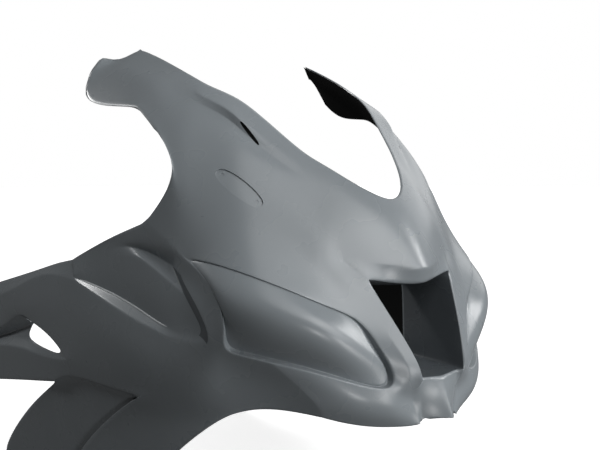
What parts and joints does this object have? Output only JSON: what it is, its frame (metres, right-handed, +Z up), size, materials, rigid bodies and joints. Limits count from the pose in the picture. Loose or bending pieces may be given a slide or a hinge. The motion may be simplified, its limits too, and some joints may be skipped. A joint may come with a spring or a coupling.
{
  "type": "motorcycle upper fairing",
  "caption": "One-piece upper fairing shell for a motorcycle, with a windscreen rim ending in ears, blanked lamps, a central air intake, side panels with windows, and lower legs.",
  "frame": {"origin": "midway between the two mirror seats, on the middle plane", "axes": "+Y rearwards along the machine, +Z up, +X to the rider's left"},
  "size_m": [0.4886, 0.6704, 0.557],
  "materials": {
    "primer": "satin grey primer over a glass-fibre moulding, bare dark inside"
  },
  "bodies": {
    "root": {"fairing_shell": "primer"}
  },
  "joints": []
}
